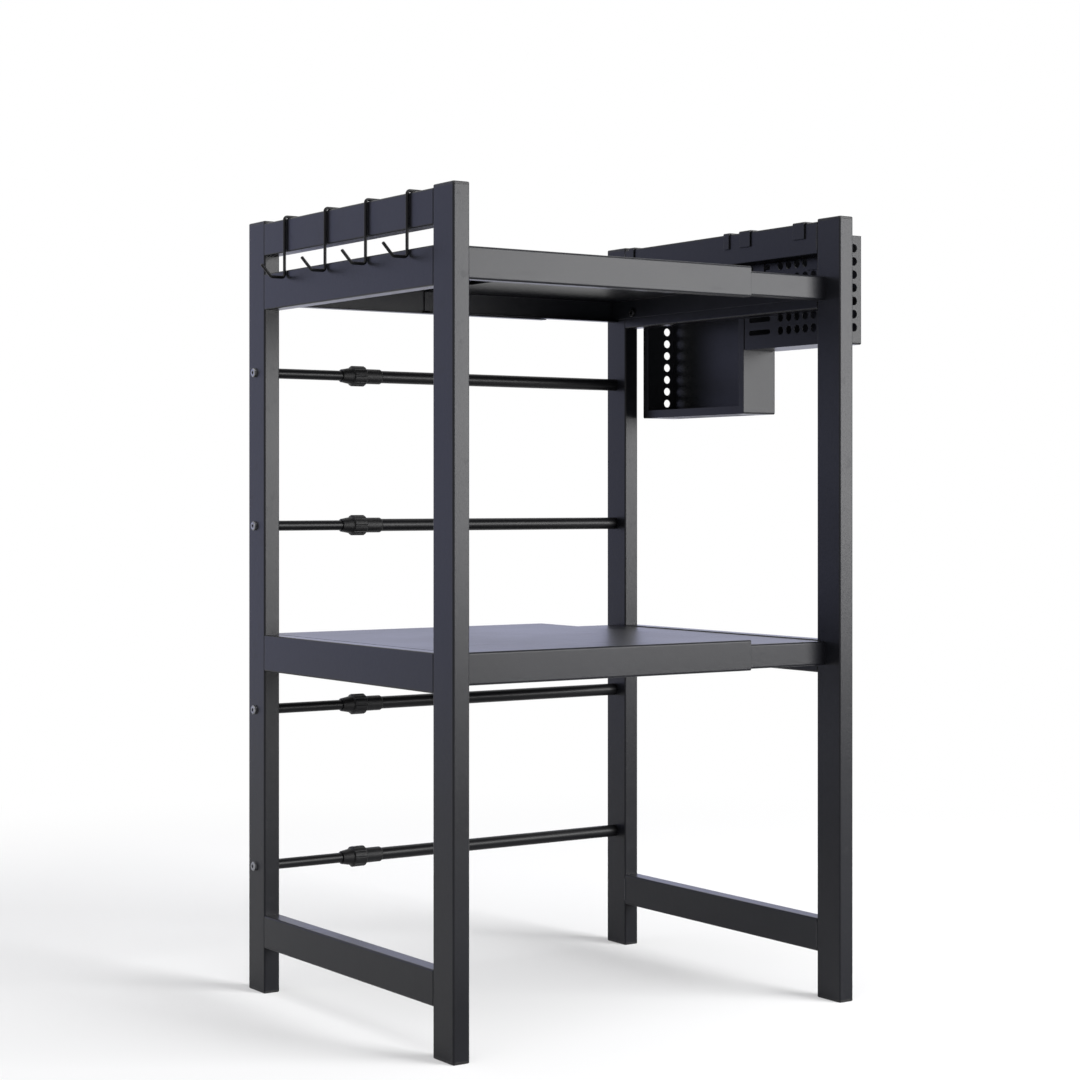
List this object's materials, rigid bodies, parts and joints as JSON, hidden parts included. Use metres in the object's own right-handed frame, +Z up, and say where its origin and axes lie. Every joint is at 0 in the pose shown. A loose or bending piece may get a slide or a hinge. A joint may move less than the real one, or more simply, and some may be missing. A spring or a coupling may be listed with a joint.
{
  "type": "extendable microwave stand",
  "caption": "Free-standing black steel rack whose tray shelves and rear rods draw out sideways, with guard rails, hooks and side holders, for microwave ovens and jars.",
  "frame": {"origin": "on the floor, midway between the outermost points of the whole rack at its drawn width", "axes": "+Z up, front towards -Y, +X along the direction in which the rack draws out"},
  "size_m": [0.6244, 0.454, 0.9007],
  "materials": {
    "frame_coat": "satin black powder coat on welded steel tube",
    "tray_coat": "satin black powder coat on folded steel sheet",
    "rod_coat": "black powder coat, slightly glossier where it slides",
    "hook_coat": "black coated wire",
    "holder_coat": "satin black powder coat on perforated sheet",
    "black_plastic": "fine moulded grain",
    "collar_plastic": "moulded, fluted grip",
    "nylon": "natural nylon",
    "black_bolts": "black oxide steel",
    "zinc": "zinc plated"
  },
  "bodies": {
    "left_frame": {"left_front_post": "frame_coat", "left_rear_post": "frame_coat", "left_guard_rail": "frame_coat", "left_upper_rail": "frame_coat", "left_middle_rail": "frame_coat", "left_base_rail": "frame_coat", "left_front_cap": "black_plastic", "left_rear_cap": "black_plastic", "left_front_foot": "black_plastic", "left_rear_foot": "black_plastic", "upper_outer_tray": "tray_coat", "middle_outer_tray": "tray_coat", "left_tray_bolts": "black_bolts", "left_rod_bolts": "zinc", "bottom_rod": "rod_coat", "lower_rod": "rod_coat", "upper_rod": "rod_coat", "top_rod": "rod_coat"},
    "right_frame": {"right_front_post": "frame_coat", "right_rear_post": "frame_coat", "right_guard_rail": "frame_coat", "right_upper_rail": "frame_coat", "right_middle_rail": "frame_coat", "right_base_rail": "frame_coat", "right_front_cap": "black_plastic", "right_rear_cap": "black_plastic", "right_front_foot": "black_plastic", "right_rear_foot": "black_plastic", "upper_inner_tray": "tray_coat", "middle_inner_tray": "tray_coat", "right_tray_bolts": "black_bolts", "right_rod_bolts": "zinc", "bottom_sleeve": "rod_coat", "lower_sleeve": "rod_coat", "upper_sleeve": "rod_coat", "top_sleeve": "rod_coat", "bottom_cone": "nylon", "lower_cone": "nylon", "upper_cone": "nylon", "top_cone": "nylon"},
    "bottom_lock": {"bottom_collar": "collar_plastic"},
    "lower_lock": {"lower_collar": "collar_plastic"},
    "upper_lock": {"upper_collar": "collar_plastic"},
    "top_lock": {"top_collar": "collar_plastic"},
    "hook_1_body": {"hook_1": "hook_coat"},
    "hook_2_body": {"hook_2": "hook_coat"},
    "hook_3_body": {"hook_3": "hook_coat"},
    "hook_4_body": {"hook_4": "hook_coat"},
    "utensil_basket": {"basket_shell": "holder_coat", "basket_inner_panel": "holder_coat", "basket_outer_panel": "holder_coat", "basket_front_hanger": "holder_coat", "basket_rear_hanger": "holder_coat"},
    "board_holder": {"board_shell": "holder_coat", "board_outer_panel": "holder_coat", "board_front_hanger": "holder_coat", "board_rear_hanger": "holder_coat"}
  },
  "joints": [
    {"name": "width_slide", "type": "slide", "parent": "left_frame", "child": "right_frame", "axis": [1, 0, 0], "range_m": [-0.093, 0.14]},
    {"name": "bottom_twist", "type": "hinge", "parent": "right_frame", "child": "bottom_lock", "pos_m": [-0.14434, 0.211, 0.1455], "axis": [1, 0, 0], "range_deg": [0, 90]},
    {"name": "lower_twist", "type": "hinge", "parent": "right_frame", "child": "lower_lock", "pos_m": [-0.14434, 0.211, 0.329], "axis": [1, 0, 0], "range_deg": [0, 90]},
    {"name": "upper_twist", "type": "hinge", "parent": "right_frame", "child": "upper_lock", "pos_m": [-0.14434, 0.211, 0.5445], "axis": [1, 0, 0], "range_deg": [0, 90]},
    {"name": "top_twist", "type": "hinge", "parent": "right_frame", "child": "top_lock", "pos_m": [-0.14434, 0.211, 0.724], "axis": [1, 0, 0], "range_deg": [0, 90]},
    {"name": "hook_1_slide", "type": "slide", "parent": "left_frame", "child": "hook_1_body", "axis": [0, 1, 0], "range_m": [-0.04, 0.04]},
    {"name": "hook_2_slide", "type": "slide", "parent": "left_frame", "child": "hook_2_body", "axis": [0, 1, 0], "range_m": [-0.04, 0.04]},
    {"name": "hook_3_slide", "type": "slide", "parent": "left_frame", "child": "hook_3_body", "axis": [0, 1, 0], "range_m": [-0.04, 0.04]},
    {"name": "hook_4_slide", "type": "slide", "parent": "left_frame", "child": "hook_4_body", "axis": [0, 1, 0], "range_m": [-0.04, 0.045]},
    {"name": "basket_lift", "type": "slide", "parent": "right_frame", "child": "utensil_basket", "axis": [0, 0, 1], "range_m": [0, 0.1]},
    {"name": "board_lift", "type": "slide", "parent": "right_frame", "child": "board_holder", "axis": [0, 0, 1], "range_m": [0, 0.1]}
  ]
}
